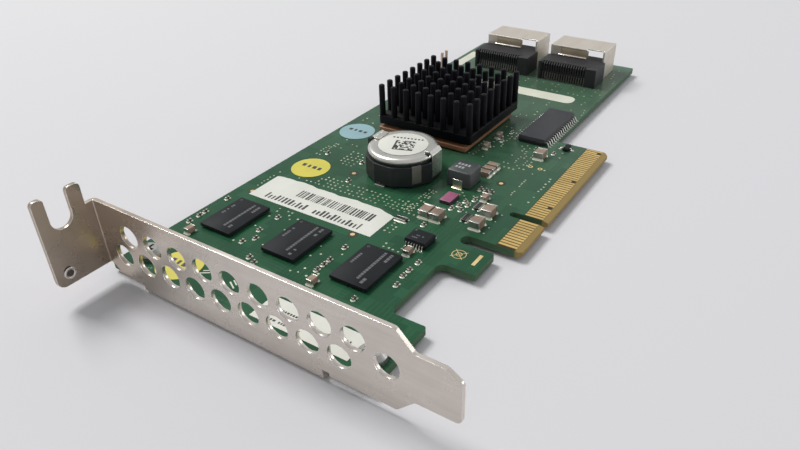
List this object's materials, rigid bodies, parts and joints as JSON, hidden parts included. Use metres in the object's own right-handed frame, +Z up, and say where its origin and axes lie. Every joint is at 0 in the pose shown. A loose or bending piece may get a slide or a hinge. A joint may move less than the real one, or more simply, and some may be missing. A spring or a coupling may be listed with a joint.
{
  "type": "raid controller card",
  "caption": "Low-profile expansion card with an edge connector, pin-fin heat sink, memory chips, internal storage ports at the far end and a vented steel bracket.",
  "frame": {"origin": "middle of the edge connector's key notch, at the tip of the fingers, on the board's component face", "axes": "+X out of the board into the slot, +Y along the board from the bracket to the storage ports, +Z up from the component side"},
  "size_m": [0.0815, 0.174, 0.0229],
  "materials": {
    "board_green": "satin",
    "gold": "polished",
    "bracket_steel": "satin",
    "screw_steel": "bright",
    "underfill_dark": "matt",
    "substrate_amber": "matt",
    "cap_metal": "satin",
    "thermal_grey": "matt",
    "sink_black": "black anodised",
    "chip_black": "matt",
    "alarm_black": "satin",
    "cover_steel": "satin",
    "solder_bright": "bright",
    "coil_grey": "matt",
    "bead_pink": "satin",
    "ceramic_tan": "matt",
    "resistor_black": "satin",
    "housing_black": "satin",
    "cage_tin": "satin",
    "header_ivory": "matt",
    "label_white": "matt",
    "sticker_yellow": "matt",
    "sticker_blue": "matt"
  },
  "bodies": {
    "root": {"circuit_board": "board_green", "edge_contacts_component_side": "gold", "edge_contacts_solder_side": "gold", "bracket": "bracket_steel", "bracket_screw_high": "screw_steel", "bracket_screw_low": "screw_steel", "controller_underfill": "underfill_dark", "controller_substrate": "substrate_amber", "controller_cap": "cap_metal", "thermal_pad": "thermal_grey", "heat_sink": "sink_black", "memory_chip_1": "chip_black", "memory_chip_2": "chip_black", "memory_chip_3": "chip_black", "memory_standoffs": "underfill_dark", "alarm_base": "alarm_black", "alarm_cover": "cover_steel", "alarm_label": "label_white", "alarm_clip_high": "cover_steel", "alarm_clip_low": "cover_steel", "inductor_body": "coil_grey", "inductor_terminals": "solder_bright", "ferrite_bead": "bead_pink", "capacitor_bodies": "ceramic_tan", "resistor_arrays": "resistor_black", "chip_terminals": "solder_bright", "wide_chip": "chip_black", "wide_chip_leads": "solder_bright", "small_chip": "chip_black", "small_chip_leads": "solder_bright", "transistor": "chip_black", "transistor_leads": "solder_bright", "port_housing_1": "housing_black", "port_contacts_1": "solder_bright", "port_cage_1": "cage_tin", "port_housing_2": "housing_black", "port_contacts_2": "solder_bright", "port_cage_2": "cage_tin", "header_base": "header_ivory", "header_pins": "gold", "barcode_label": "label_white", "notice_label": "label_white", "yellow_sticker_one": "sticker_yellow", "yellow_sticker_two": "sticker_yellow", "blue_sticker": "sticker_blue"}
  },
  "joints": []
}
